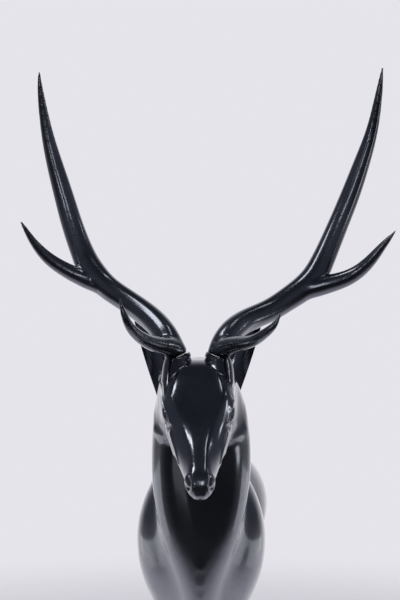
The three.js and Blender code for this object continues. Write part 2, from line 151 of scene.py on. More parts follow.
def skin(name, hoops):
    """A closed skin over hoops of points in metres."""
    bpy.ops.object.select_all(action="DESELECT")
    bpy.ops.mesh.primitive_circle_add(vertices=len(hoops[0]), fill_type="NGON")
    piece = bpy.context.object
    piece.name = name
    bpy.ops.object.mode_set(mode="EDIT")
    for number, hoop in enumerate(hoops):
        if number:
            bpy.ops.mesh.extrude_region_move()
        mesh = bmesh.from_edit_mesh(piece.data)
        cap = next(face for face in mesh.faces if face.select)
        for corner, point in zip(cap.verts, hoop):
            corner.co = point
        bmesh.update_edit_mesh(piece.data)
    bpy.ops.mesh.select_all(action="SELECT")
    bpy.ops.mesh.normals_make_consistent(inside=False)
    bpy.ops.object.mode_set(mode="OBJECT")
    return piece


# %% [markdown]
# The legs come before the body here, because where the hooves stand says where the stag stands on its
# plinth. Each leg is a stack of level hoops. On each side the foot is stepped a little forward or back.

# %% Legs as rows
# Each row: centre X, Y and Z, half width in X and half width in Y.
FORE_LEG = [
    [8.4, -26.0, 80, 3.6, 9.0],
    [7.6, -27.6, 70, 3.5, 8.2],
    [6.9, -28.6, 61, 3.1, 6.2],
    [6.6, -29.4, 53, 2.75, 4.1],
    [6.3, -30.2, 43, 2.4, 2.9],
    [6.1, -30.7, 35.8, 2.5, 2.9],
    [6.0, -30.3, 30.5, 2.0, 2.2],
    [5.9, -29.9, 21, 1.65, 1.85],
    [5.9, -29.9, 12.5, 1.8, 2.1],
    [5.9, -30.4, 9.4, 2.15, 2.55],
    [5.9, -31.6, 6.2, 1.9, 2.1],
    [5.9, -32.4, 3.6, 2.1, 2.5],
]
HIND_LEG = [
    [9.8, 44.0, 84, 5.6, 11.4],
    [10.2, 43.6, 73, 5.1, 11.6],
    [9.5, 43.0, 63, 4.3, 9.6],
    [8.7, 42.9, 54, 3.3, 6.3],
    [8.1, 46.2, 46, 2.5, 4.0],
    [7.7, 50.2, 38.8, 2.2, 3.5],
    [7.5, 50.4, 33, 2.0, 2.75],
    [7.3, 48.8, 22, 1.7, 2.0],
    [7.2, 47.3, 12.5, 1.85, 2.15],
    [7.2, 46.7, 9.4, 2.2, 2.6],
    [7.2, 45.4, 6.2, 1.95, 2.15],
    [7.2, 44.6, 3.6, 2.1, 2.55],
]
# One claw of a hoof. Each row: out from the hoof's middle, forward of the leg, height and half widths.
CLAW = [
    [0.9, -0.3, 5.2, 1.1, 1.6],
    [1.15, 0.3, 3.4, 1.3, 2.5],
    [1.35, 1.3, 0.0, 1.45, 3.4],
]
# How far each foot steps to the tail, on the stag's left and right.
FORE_STEP = {1: -1.4, -1: 1.6}
HIND_STEP = {1: 1.8, -1: -1.8}
LEG_SIDES = 32


def placed_leg(rows, side, step):
    """A leg's rows on its side, with the foot stepped and the shoulder or hip left in place."""
    x, y, z, half_x, half_y = np.array(rows).T
    return np.column_stack([side * x, y + step * (1 - z / z[0]), z, half_x, half_y])


feet = [placed_leg(FORE_LEG, side, FORE_STEP[side])[-1] for side in (1, -1)]
feet += [placed_leg(HIND_LEG, side, HIND_STEP[side])[-1] for side in (1, -1)]
sole = CLAW[-1]
toe = min(foot[1] for foot in feet) - sole[1] - sole[4]
heel = max(foot[1] for foot in feet) - sole[1] + sole[4]
STAND = np.array([0, -SHARE * (toe + heel) / 2, SOLE_LEVEL])


def placed(points):
    """Points in shares, as metres in the frame."""
    return np.asarray(points) * SHARE + STAND


def level_hoop(x, y, z, half_x, half_y):
    angle = turns(LEG_SIDES)
    return np.column_stack([x + half_x * np.cos(angle), y + half_y * np.sin(angle), np.full(LEG_SIDES, z)])


print("The stag's own origin stands at", [round(float(v), 4) for v in STAND])

# %% [markdown]
# A leg could be drawn out of the trunk by extruding. It is a closed skin of its own here, sunk into the
# trunk, because the two are fused later and each can then be changed by itself. A hoof is two claws.

# %% Legs and hooves
soft_parts = []
for rows, steps, name in ((FORE_LEG, FORE_STEP, "fore"), (HIND_LEG, HIND_STEP, "hind")):
    for side in (1, -1):
        leg = placed_leg(rows, side, steps[side])
        hoops = [placed(level_hoop(*row)) for row in smooth_rows(leg, 6, 4)]
        soft_parts.append(skin(f"{name}_leg", hoops))
        for inner in (1, -1):
            foot_x, foot_y = leg[-1][:2]
            claw = [(foot_x + inner * out, foot_y - forward, z, *half) for out, forward, z, *half in CLAW]
            soft_parts.append(skin("claw", [placed(level_hoop(*row)) for row in smooth_rows(claw, 4)]))
print("Legs and claws:", len(soft_parts), "skins")

# %% [markdown]
# Muscles are what make a flank read as alive. Seen from the side, each swell is a soft oval that pushes the
# flank out, and each furrow is a line that draws it in: along the front of the shoulder, behind the elbow,
# before the thigh.

# %% Muscles
# Each swell: Y and Z of its middle, its reach along both, and how far it pushes out.
SWELLS = (
    (-28, 80, 13, 22, 1.4),
    (-22, 61, 6, 8, 0.5),
    (5, 77, 22, 19, 0.6),
    (44, 79, 14, 20, 0.8),
)
# Each furrow: its places in Y and Z, its half width and its depth.
FURROWS = (
    (
        ((-30, 112), (-34, 104), (-37, 97), (-39.5, 90), (-41.5, 83), (-42.5, 76), (-41, 69), (-36, 62)),
        4.2,
        2.8,
    ),
    (((-14, 95), (-10, 84), (-11, 72), (-16, 60)), 4.5, 0.9),
    (((27, 94), (28, 84), (31, 74), (34, 64)), 4.5, 1.1),
    (((52, 92), (51, 80), (49, 68), (48, 58)), 2.2, 0.4),
)
MIDDLE_REACH = 6


def off_line(points, line):
    """How far points in a plane are from a smooth line through the given places."""
    line = smooth_rows(line, 4)
    start, run = line[:-1], np.diff(line, axis=0)
    reach = points[:, None] - start
    share = np.clip((reach * run).sum(2) / (run * run).sum(1), 0, 1)
    return np.linalg.norm(reach - share[..., None] * run, axis=2).min(1)


def fleshed(points):
    """Points of the body, pushed out and drawn in sideways by its muscles."""
    side_view = points[:, 1:3]
    out = np.zeros(len(points))
    for y, z, reach_y, reach_z, height in SWELLS:
        distance = np.hypot((side_view[:, 0] - y) / reach_y, (side_view[:, 1] - z) / reach_z)
        out += height * np.clip(1 - distance**2, 0, 1) ** 1.5
    for line, width, depth in FURROWS:
        out -= depth * np.exp(-((off_line(side_view, line) / width) ** 2))
    made = points.copy()
    made[:, 0] += np.tanh(points[:, 0] / MIDDLE_REACH) * out
    return made


print("Swells:", len(SWELLS), "and furrows:", len(FURROWS))

# %% [markdown]
# The trunk and the neck are one form, from the rump along the back and up the neck to the throat. Each hoop
# is given by a point on the back and one on the belly or throat, so the hoops fan out round the chest.

# %% Trunk and neck
# Each row: top Y and Z, low Y and Z, half width, share of the height where it is widest,
# roundness above and below that level, and shift in X.
TRUNK = [
    [58.0, 85.0, 58.2, 77.0, 4.5, 0.50, 1.0, 1.0, 0.6],
    [56.2, 90.0, 56.8, 69.5, 10.6, 0.54, 0.9, 1.0, 0.7],
    [51.4, 94.6, 51.6, 64.0, 14.9, 0.54, 0.85, 1.0, 0.8],
    [43.0, 97.4, 42.5, 62.0, 16.5, 0.53, 0.80, 1.0, 0.8],
    [32.0, 97.6, 30.5, 63.5, 15.0, 0.52, 0.85, 1.0, 0.5],
    [19.5, 96.0, 17.0, 61.0, 13.4, 0.50, 0.95, 1.0, 0.2],
    [6.5, 95.4, 3.0, 57.0, 13.9, 0.50, 1.0, 1.1, 0.1],
    [-7.0, 96.8, -12.0, 54.8, 13.9, 0.54, 1.05, 1.2, 0.1],
    [-17.5, 99.8, -27.0, 55.0, 13.9, 0.58, 1.1, 1.5, 0.1],
    [-24.2, 103.4, -39.5, 59.0, 13.8, 0.57, 1.1, 1.7, 0.1],
    [-28.6, 107.4, -46.5, 69.0, 13.0, 0.52, 1.05, 1.75, 0.1],
    [-31.8, 111.4, -49.5, 79.0, 11.9, 0.50, 1.0, 1.6, 0.2],
    [-34.5, 115.3, -50.5, 88.5, 11.4, 0.50, 1.0, 1.3, 0.3],
    [-37.2, 118.9, -50.7, 97.5, 11.0, 0.50, 1.0, 1.0, 0.3],
    [-40.0, 122.6, -51.2, 105.5, 10.3, 0.52, 1.05, 1.0, 0.1],
    [-43.4, 126.0, -52.4, 111.5, 9.1, 0.52, 1.15, 1.0, -0.1],
    [-47.0, 125.2, -54.5, 115.0, 7.0, 0.52, 1.1, 1.0, -0.3],
]
BODY_SIDES = 72
# How sharply a flat crest turns down into its sides.
CREST_TURN = 9


def body_hoop(top, low, half, widest, upper, lower, shift, bridge=0.0):
    """A hoop across the body. A bridge is the half width of a flat crest along its top."""
    across, rise = np.cos(turns(BODY_SIDES)), np.sin(turns(BODY_SIDES))
    above = rise >= 0
    height = np.where(above, widest + (1 - widest) * rise, widest * (1 + rise))
    flank = np.abs(across) ** np.where(above, upper, lower)
    crest = np.where(above, bridge, 0) * (np.tanh(CREST_TURN * np.abs(across)) - flank)
    x = shift + np.sign(across) * (half * flank + crest)
    return np.column_stack([x, low[0] + (top[0] - low[0]) * height, low[1] + (top[1] - low[1]) * height])


trunk_hoops = []
for row in smooth_rows(TRUNK, 6, 6):
    trunk_hoops.append(placed(fleshed(body_hoop(row[0:2], row[2:4], *row[4:]))))
trunk_hoops += dome(trunk_hoops, 2 * SHARE)
soft_parts.append(skin("trunk", trunk_hoops))
print("Trunk:", len(trunk_hoops), "hoops of", BODY_SIDES, "corners")

# %% [markdown]
# The head hangs from the poll, the top of the skull, with its axis dropped forward and turned a hair to the
# stag's left. Its hoops stand square to that axis. From the brow to the nose the top is a narrow flat
# bridge with sides that slope away like a roof, and that edge is what catches the long streak of light.

# %% Head
POLL = (-46.8, 125.6)
HEAD_PITCH = math.radians(40)
HEAD_SHIFT = -0.45
HEAD_TURN = 0.026
# Each row: distance along the axis, top and low offset from it, half width,
# share of the height where it is widest, roundness above and below, and half width of the bridge.
HEAD = [
    [-2.2, -3.6, -8.5, 4.4, 0.60, 1.0, 1.0, 0.0],
    [0.0, -0.1, -12.0, 6.7, 0.64, 1.0, 1.0, 0.5],
    [4.0, 2.3, -14.2, 7.9, 0.68, 1.0, 1.05, 2.0],
    [9.0, 2.8, -14.6, 8.2, 0.70, 1.2, 1.1, 4.0],
    [14.0, 2.2, -14.2, 8.1, 0.70, 1.4, 1.15, 5.3],
    [17.5, 1.3, -13.4, 7.4, 0.66, 1.5, 1.15, 4.3],
    [21.0, 0.5, -12.2, 6.4, 0.60, 1.5, 1.1, 2.7],
    [25.0, 0.0, -10.6, 5.2, 0.56, 1.6, 1.05, 1.7],
    [29.0, -0.1, -9.0, 4.1, 0.52, 1.6, 1.0, 1.35],
    [32.5, 0.0, -7.8, 3.3, 0.52, 1.4, 1.0, 1.2],
    [35.0, -0.3, -6.8, 2.9, 0.54, 1.1, 1.0, 1.1],
    [36.8, -1.2, -6.0, 2.3, 0.54, 0.95, 1.0, 0.7],
    [37.7, -2.5, -4.8, 1.2, 0.54, 1.0, 1.0, 0.0],
]


def on_head(along, offset):
    """Y and Z of a place on the head: along its axis, and off it to the forehead's side."""
    return (
        POLL[0] - along * math.cos(HEAD_PITCH) - offset * math.sin(HEAD_PITCH),
        POLL[1] - along * math.sin(HEAD_PITCH) + offset * math.cos(HEAD_PITCH),
    )


head_hoops = []
for along, top, low, *form in smooth_rows(HEAD, 6, 4):
    *section, bridge = form
    shift = HEAD_SHIFT + HEAD_TURN * along
    head_hoops.append(placed(body_hoop(on_head(along, top), on_head(along, low), *section, shift, bridge)))
head_hoops += dome(head_hoops, 0.5 * SHARE)
soft_parts.append(skin("head", head_hoops))
print("Head:", len(head_hoops), "hoops")

# %% [markdown]
# Round limbs, such as the tail and the antlers, have hoops square to the way they run.

# %% Limbs and the tail
TAIL = [
    [0.6, 53.5, 91.0, 2.3],
    [0.6, 57.0, 89.6, 2.7],
    [0.6, 59.3, 86.0, 2.5],
    [0.6, 60.0, 81.5, 1.9],
    [0.6, 59.8, 77.5, 1.2],
    [0.6, 59.3, 74.8, 0.4],
]


def round_hoop(centre, direction, radius, sides):
    """A round hoop square to a direction."""
    turn = np.array(Vector((0, 0, 1)).rotation_difference(Vector(direction)).to_matrix())
    angle = turns(sides)
    flat = np.column_stack([np.cos(angle), np.sin(angle), np.zeros(sides)])
    return np.asarray(centre) + radius * flat @ turn.T


def limb(name, rows, steps, sides, first_direction=None):
    """A round limb along rows of centre and radius."""
    smooth = smooth_rows(rows, steps, steps)
    centres = smooth[:, :3]
    directions = np.gradient(centres, axis=0)
    if first_direction is not None:
        directions[0] = first_direction
    hoops = [placed(round_hoop(c, d, r, sides)) for c, d, r in zip(centres, directions, smooth[:, 3])]
    return skin(name, hoops + dome(hoops, smooth[-1, 3] * SHARE))


soft_parts.append(limb("tail", TAIL, 6, 24))
print("Skins with the tail:", len(soft_parts))

# %% [markdown]
# An antler grows from a pedicle, a short post of the skull. On this bronze each pedicle ends in a crisp
# collar that the antler seats on, and below it the post runs down into the brow above the eye.
# Each antler is a beam with an outer tine and a brow tine: round limbs along rows of centre and radius.

# %% Antlers as rows
LEFT_ANTLER = {
    "beam": [
        [4.3, -49.2, 125.9, 2.75],
        [5.0, -48.0, 128.5, 2.72],
        [7.1, -45.5, 131.5, 2.79],
        [10.3, -42.0, 133.8, 2.71],
        [15.7, -38.5, 136.0, 2.7],
        [20.6, -36.0, 139.1, 2.8],
        [25.4, -34.0, 142.5, 3.2],
        [28.2, -32.8, 147.3, 2.78],
        [31.9, -31.0, 155.7, 2.45],
        [35.0, -30.5, 163.2, 2.3],
        [37.6, -31.0, 170.6, 1.95],
        [39.9, -32.0, 178.0, 1.42],
        [41.2, -34.0, 186.0, 0.9],
        [41.9, -35.3, 192.0, 0.25],
    ],
    "outer": [
        [21.0, -36.0, 139.6, 1.9],
        [24.5, -35.5, 140.8, 2.35],
        [28.4, -35.5, 141.9, 2.25],
        [32.0, -36.0, 142.9, 2.0],
        [35.0, -36.5, 144.2, 1.78],
        [37.5, -37.5, 146.1, 1.55],
        [39.6, -38.5, 148.4, 1.3],
        [41.4, -39.3, 150.7, 0.98],
        [43.0, -40.0, 152.6, 0.62],
        [44.3, -40.5, 154.2, 0.2],
    ],
    "brow": [
        [5.0, -49.0, 127.4, 2.4],
        [6.2, -50.9, 128.3, 2.25],
        [8.1, -53.3, 128.9, 1.9],
        [10.0, -56.6, 129.3, 1.5],
        [11.9, -59.5, 129.9, 1.28],
        [13.9, -61.2, 131.3, 1.1],
        [15.8, -62.2, 132.9, 0.84],
        [16.7, -62.4, 134.3, 0.51],
        [17.5, -62.2, 135.8, 0.2],
    ],
}
RIGHT_ANTLER = {
    "beam": [
        [-4.9, -49.2, 125.9, 2.75],
        [-6.5, -48.0, 129.0, 2.77],
        [-8.3, -45.5, 131.8, 2.79],
        [-11.6, -42.0, 134.9, 2.8],
        [-16.6, -38.5, 138.3, 2.7],
        [-21.4, -36.0, 141.4, 2.8],
        [-25.1, -34.0, 145.0, 3.2],
        [-27.3, -32.5, 149.2, 2.79],
        [-29.9, -31.0, 155.8, 2.57],
        [-32.1, -30.5, 163.3, 2.34],
        [-34.2, -31.0, 170.7, 1.94],
        [-35.9, -32.0, 178.1, 1.4],
        [-37.1, -34.0, 187.1, 0.75],
        [-37.2, -35.0, 191.2, 0.25],
    ],
    "outer": [
        [-20.5, -36.0, 140.9, 1.8],
        [-23.3, -35.5, 141.9, 2.15],
        [-26.7, -35.5, 143.4, 2.05],
        [-30.2, -36.0, 145.0, 1.8],
        [-34.6, -37.0, 147.8, 1.5],
        [-38.0, -38.5, 151.6, 0.98],
        [-40.1, -40.0, 155.3, 0.48],
        [-40.8, -40.4, 156.4, 0.2],
    ],
    "brow": [
        [-5.6, -49.0, 127.6, 2.4],
        [-6.8, -50.9, 128.3, 2.25],
        [-8.3, -52.9, 128.6, 1.95],
        [-10.0, -55.2, 129.1, 1.7],
        [-11.9, -58.0, 130.1, 1.45],
        [-13.9, -60.5, 131.9, 1.2],
        [-15.1, -62.0, 133.9, 0.95],
        [-15.9, -62.5, 135.9, 0.68],
        [-16.4, -62.5, 137.7, 0.42],
        [-16.7, -62.3, 139.0, 0.2],
    ],
}
COLLAR_LEAN = np.array((0.42, -0.10, 0.90)) / math.hypot(0.42, 0.10, 0.90)
COLLAR_STEP = 0.0011
SEAT_GAP = 0.0003
# The post below the left collar, down to the brow. Each row: centre X, Y and Z, and radius.
POST = [
    [4.4, -49.2, 125.6, 2.7],
    [4.8, -50.4, 122.9, 3.0],
    [5.4, -53.0, 119.7, 2.7],
    [5.8, -56.2, 116.9, 1.8],
    [6.0, -58.8, 114.8, 0.9],
]
# What carries an ear: a cone from the skull's side up into the cup.
EAR_ROOT = [
    [3.6, -50.5, 112.5, 4.8],
    [4.9, -48.8, 115.6, 4.2],
    [6.1, -46.4, 118.4, 3.3],
    [7.1, -44.3, 120.6, 2.3],
    [7.8, -42.9, 122.2, 1.2],
]


def lean_of(side):
    """The way that the collar on a side looks."""
    return COLLAR_LEAN * (side, 1, 1)


for side, antler in ((1, LEFT_ANTLER), (-1, RIGHT_ANTLER)):
    root = [(side * x + HEAD_SHIFT, y, z, r) for x, y, z, r in EAR_ROOT]
    soft_parts.append(limb("ear_root", root, 6, 32))
    shift = antler["beam"][0][0] - side * POST[0][0]
    post = [(side * x + shift, y, z, r) for x, y, z, r in POST]
    soft_parts.append(limb("post", post, 6, 32, -lean_of(side)))
print("Skins to fuse:", len(soft_parts))

# %% [markdown]
# The face and the legs carry finer forms than the flanks do. So the fused shell gets coarse faces all over,
# and those of the head and the lower legs are split. Places on the head are read in its own directions.

# %% Where the mesh is finer
HEAD_END = 39
LEG_TOP = 50
HEAD_REACH = 10


def head_places(points):
    """Along the head's axis, off it to the forehead's side, and out from its middle plane."""
    y, z = points[:, 1] - POLL[0], points[:, 2] - POLL[1]
    along = -(y * math.cos(HEAD_PITCH) + z * math.sin(HEAD_PITCH))
    offset = -y * math.sin(HEAD_PITCH) + z * math.cos(HEAD_PITCH)
    return along, offset, points[:, 0] - (HEAD_SHIFT + HEAD_TURN * along)


def on_face(points, margin):
    along, offset, out = head_places(points)
    jaw = np.interp(along, [row[0] for row in HEAD], [row[2] for row in HEAD])
    return (along > margin) & (along < HEAD_END) & (offset > jaw - 1 + margin) & (np.abs(out) < HEAD_REACH)


def coarse_finer(points):
    return on_face(points, 0) | (points[:, 2] < LEG_TOP)


def face_finer(points):
    return on_face(points, 1)


def split(piece, chosen):
    """Splits the faces whose corners are all chosen."""
    only(piece)
    bpy.ops.object.mode_set(mode="EDIT")
    bpy.ops.mesh.select_mode(type="VERT")
    bpy.ops.mesh.select_all(action="DESELECT")
    bpy.ops.object.mode_set(mode="OBJECT")
    piece.data.vertices.foreach_set("select", chosen)
    bpy.ops.object.mode_set(mode="EDIT")
    bpy.ops.mesh.subdivide(number_cuts=1, smoothness=0)
    bpy.ops.object.mode_set(mode="OBJECT")


# %% [markdown]
# All the skins run into each other. A boolean would keep their hard seams, so a voxel remesh fuses them into
# one shell with even faces, as the founder's wax is one skin. A voxel leaves fine steps on a shallow slope.
# So the shell is smoothed and then laid back on the skins by a shrinkwrap, except where the legs, neck and
# head grow together: there it is only softened.

# %% Fuse the body
VOXEL = 0.0035
JOINT_PASSES = 60
LAST_PASSES = 7


def apply(piece, modifier):
    only(piece)
    bpy.ops.object.modifier_apply(modifier=modifier.name)


def points_of(piece):
    """The piece's vertices, in the stag's shares."""
    flat = np.empty(len(piece.data.vertices) * 3)
    piece.data.vertices.foreach_get("co", flat)
    return (flat.reshape(-1, 3) - STAND) / SHARE


def soften(piece, passes, weights=None, factor=0.5):
    """Smooths the piece, more where the weight is more."""
    smooth = piece.modifiers.new("soften", "SMOOTH")
    smooth.factor = factor
    smooth.iterations = passes
    if weights is not None:
        group = piece.vertex_groups.new(name="soft")
        for index in np.nonzero(weights > 0.01)[0]:
            group.add([int(index)], float(weights[index]), "REPLACE")
        smooth.vertex_group = group.name
    apply(piece, smooth)
    piece.vertex_groups.clear()


def near(points, centre, reach):
    """1 at the centre, falling smoothly to 0 at the reach, a number or one for each axis."""
    distance = np.linalg.norm((points - np.array(centre)) / np.array(reach), axis=1)
    return np.clip(1 - distance**2, 0, 1) ** 2


def joined(points, joints):
    """1 in the middle of each joint, falling smoothly to 0 away from them all."""
    return np.clip(1.5 * sum(near(points, centre, reach) for centre, reach in joints), 0, 1)


def lay_back(piece, skins, weights):
    """Moves the piece's vertices onto the skins, less where the weight is less."""
    wrap = piece.modifiers.new("lay back", "SHRINKWRAP")
    wrap.target = skins
    group = piece.vertex_groups.new(name="laid")
    for index, weight in enumerate(weights):
        group.add([index], float(weight), "REPLACE")
    wrap.vertex_group = group.name
    apply(piece, wrap)
    piece.vertex_groups.clear()


def fused(name, parts, voxel, levels, joints, finer=()):
    """One even shell from closed skins, softened at the joints and split finer by the given rules."""
    bpy.ops.object.select_all(action="DESELECT")
    for part in parts:
        part.select_set(True)
    bpy.context.view_layer.objects.active = parts[0]
    bpy.ops.object.join()
    skins = bpy.context.object
    round_off = skins.modifiers.new("round off", "SUBSURF")
    round_off.levels = round_off.render_levels = levels
    apply(skins, round_off)
    piece = skins.copy()
    piece.data = skins.data.copy()
    piece.name = piece.data.name = name
    bpy.context.scene.collection.objects.link(piece)
    remesh = piece.modifiers.new("one shell", "REMESH")
    remesh.mode = "VOXEL"
    remesh.voxel_size = voxel
    remesh.use_smooth_shade = True
    apply(piece, remesh)
    soften(piece, 4)
    lay_back(piece, skins, np.ones(len(piece.data.vertices)))
    soften(piece, JOINT_PASSES, joined(points_of(piece), joints))
    soften(piece, 2)
    for rule in finer:
        split(piece, rule(points_of(piece)))
        soften(piece, 2)
    lay_back(piece, skins, 1 - joined(points_of(piece), joints))
    soften(piece, LAST_PASSES)
    bpy.data.objects.remove(skins)
    return piece


JOINTS = [
    ((side * x, y, z), reach)
    for side in (1, -1)
    for x, y, z, reach in (
        (7.5, -30, 60, (9, 15, 15)),
        (9, 42, 66, (12, 22, 16)),
        (8.5, -51, 111, (7, 9, 9)),
        (8, -48, 118, (5, 9, 8)),
    )
]
stag = fused("stag", soft_parts, VOXEL, 2, JOINTS, (coarse_finer, face_finer))
print("The fused stag has", len(stag.data.polygons), "faces")

# %% [markdown]
# The face is chased on the fused shell, as a chaser works the wax: each detail moves the surface along its
# normals. A detail is a formula in the head's own directions, along its axis, off it and out from the
# middle, so that both sides get the same one.

# %% Eyes
EYE_ALONG = 15.4
EYE_OFFSET = -2.2
EYE_LONG = 2.6
EYE_TALL = 1.3


def sculpt(piece, move):
    """Moves the piece's vertices along their normals by move(points), in shares."""
    count = len(piece.data.vertices)
    places, normals = np.empty(count * 3), np.empty(count * 3)
    piece.data.vertices.foreach_get("co", places)
    piece.data.vertices.foreach_get("normal", normals)
    step = move(points_of(piece)) * SHARE
    piece.data.vertices.foreach_set("co", places + normals * np.repeat(step, 3))
    piece.data.update()


def ridge(distance, width):
    """A bell across a line: 1 on it, falling to 0 at about two widths."""
    return np.exp(-((distance / width) ** 2))


def eye_ring(along, offset):
    """0 in the middle of the eye and 1 on the edge of its almond."""
    across = (along - EYE_ALONG) / EYE_LONG
    up = (offset - EYE_OFFSET) / EYE_TALL
    return np.sqrt(across**2 + up**2 * (1 + 1.2 * across**2))


def on_side(out, inner, outer):
    """0 on the head's middle, rising smoothly to 1 on its sides."""
    share = np.clip((np.abs(out) - inner) / (outer - inner), 0, 1)
    return share * share * (3 - 2 * share)


def eyes(points):
    along, offset, out = head_places(points)
    ring = eye_ring(along, offset)
    socket = -0.5 * ridge(ring, 2.0)
    ball = 0.6 * np.sqrt(np.clip(1 - (ring / 0.9) ** 2, 0, 1))
    groove = -0.1 * ridge(ring - 0.97, 0.14)
    lid = 0.14 * ridge(ring - 1.25, 0.2)
    return (socket + ball + groove + lid) * on_side(out, 3.5, 5.5)


along, offset, out = head_places(points_of(stag))
split(stag, (eye_ring(along, offset) < 1.7) & (np.abs(out) > 3))
sculpt(stag, eyes)
along, offset, out = head_places(points_of(stag))
soften(stag, 3, (eye_ring(along, offset) < 1.7) * on_side(out, 3, 5))
print("Eyes chased:", len(stag.data.polygons), "faces")

# %% [markdown]
# The rest of the face is lines and hollows: the brow over the eye, the tear line below its inner corner,
# the comma of each nostril with its raised wing, the slit of the mouth and the edge of the jaw.
# Each is a smooth line through a few places on the head's side, and the surface moves by how near it is.

# %% Face
# Each line: places along the axis and off it, half width, and height, or depth where it is less than 0.
FACE_LINES = (
    (((12.0, -0.9), (15.4, -0.4), (18.8, -1.4)), 0.6, 0.25),
    (((20.5, -2.8), (22.5, -3.2), (25.0, -3.6), (28.0, -4.4)), 0.5, 0.25),
    (((20.0, -4.8), (23.0, -5.2), (26.5, -5.6)), 1.3, -0.35),
    (((37.4, -4.9), (36.0, -5.1), (33.5, -5.3), (30.5, -5.6), (28.5, -6.0)), 0.28, -0.32),
    (((10.0, -12.5), (14.0, -11.5), (18.0, -10.0), (22.0, -8.4)), 1.2, 0.3),
)
NOSTRIL = (((34.9, -1.5), (35.9, -1.8), (36.3, -2.7), (35.9, -3.5)), 0.5, -0.6)
NOSTRIL_WING = (((34.0, -2.0), (34.4, -3.1), (35.2, -4.0)), 0.5, 0.18)


def along_line(along, offset, line):
    places, width, height = line
    return height * ridge(off_line(np.column_stack([along, offset]), places), width)


def face(points):
    along, offset, out = head_places(points)
    cheek = sum(along_line(along, offset, line) for line in FACE_LINES) * on_side(out, 0.6, 2.0)
    nose = sum(along_line(along, offset, line) for line in (NOSTRIL, NOSTRIL_WING)) * on_side(out, 0.9, 1.6)
    return (cheek + nose) * (along > 6)


along, offset, out = head_places(points_of(stag))
split(stag, (along > 33.5) & (along < HEAD_END) & (offset > -6.5))
sculpt(stag, face)
along, offset, out = head_places(points_of(stag))
soften(stag, 2, (along > 33.5) * on_side(out, 0.6, 1.2))
print("Face chased:", len(stag.data.polygons), "faces")

# %% [markdown]
# The legs get what a chaser would cut into them: the cleft between the claws, a dent on each side of the
# cannon bone that sets off the tendon behind it, and the two dewclaws over each hoof.

# %% Feet
# Each dewclaw: out from the leg's middle, back from it, height, reach and how far it stands out.
DEWCLAW = (1.1, 2.1, 8.4, 1.0, 0.7)
# The cleft: half width and depth. The dent before the tendon: back from the leg's middle, half width, depth.
CLEFT = (0.32, 0.4)
TENDON = (0.9, 0.45, 0.16)


def fade(value, start, end):
    """0 at the start, rising smoothly to 1 at the end."""
    share = np.clip((value - start) / (end - start), 0, 1)
    return share * share * (3 - 2 * share)


def feet_chased(points):
    moved = np.zeros(len(points))
    x, y, z = points.T
    for rows, steps in ((FORE_LEG, FORE_STEP), (HIND_LEG, HIND_STEP)):
        for side in (1, -1):
            leg = placed_leg(rows, side, steps[side])[::-1]
            aside = x - np.interp(z, leg[:, 2], leg[:, 0])
            back = y - np.interp(z, leg[:, 2], leg[:, 1])
            mine = (np.abs(aside) < 4) & (np.abs(back) < 7)
            cleft = -CLEFT[1] * ridge(aside, CLEFT[0]) * fade(z, 5.5, 3.5)
            tendon = -TENDON[2] * ridge(back - TENDON[0], TENDON[1]) * fade(z, 12, 16) * fade(z, 33, 28)
            local = np.column_stack([np.abs(aside), back, z])
            out, behind, level, reach, height = DEWCLAW
            moved += mine * (cleft + tendon + height * near(local, (out, behind, level), reach))
    return moved


sculpt(stag, feet_chased)
print("Feet chased")

# %% [markdown]
# The ears and the collars are thin and crisp, and a voxel would round them off. They are skinned by
# themselves, at their full sharpness, and joined to the shell by a boolean union.

# %% Ears
# Each row: centre X, Y and Z, half width, thickness and depth of the cup.
EAR = [
    [6.8, -44.6, 115.8, 2.3, 2.6, 0.0],
    [7.6, -43.8, 119.4, 2.75, 2.0, 0.8],
    [8.8, -42.0, 123.2, 3.0, 1.2, 1.8],
    [10.3, -39.8, 127.2, 2.9, 0.8, 2.0],
    [12.0, -37.4, 131.2, 2.45, 0.7, 1.5],
    [13.8, -35.2, 134.8, 1.5, 0.6, 0.6],
    [15.2, -33.5, 137.6, 0.3, 0.3, 0.1],
]
EAR_ACROSS = Vector((0.71, 0.46, -0.54)).normalized()
EAR_FACING = Vector((0.63, -0.76, 0.17)).normalized()
EAR_SIDES = 40


def united(piece, part):
    """The piece with a crisp part joined to it."""
    join = piece.modifiers.new("join", "BOOLEAN")
    join.operation = "UNION"
    join.solver = "EXACT"
    join.object = part
    apply(piece, join)
    bpy.data.objects.remove(part)


def make_ear(side):
    """A leaf-shaped cup whose rim is as thick as its rows say."""
    across = np.cos(turns(EAR_SIDES))
    front = np.sin(turns(EAR_SIDES)) > 0
    hoops = []
    for x, y, z, half, thickness, cup in smooth_rows(EAR, 8, 6):
        crown = 1 - across**2
        depth = cup * crown + np.where(front, 0, thickness * np.sqrt(crown))
        hoop = np.array((x, y, z)) + np.outer(across * half, EAR_ACROSS) - np.outer(depth, EAR_FACING)
        hoops.append(placed(hoop * (side, 1, 1) + (HEAD_SHIFT, 0, 0)))
    return skin("ear", hoops + dome(hoops, 0.3 * SHARE))


for side in (1, -1):
    united(stag, make_ear(side))
print("With ears:", len(stag.data.polygons), "faces")

# %% [markdown]
# A collar is the crisp ring that each antler seats on. A torus would be too round, so its profile is a stack
# of hoops: up the post, out to the ring over a small fillet, and in again over a chamfer.

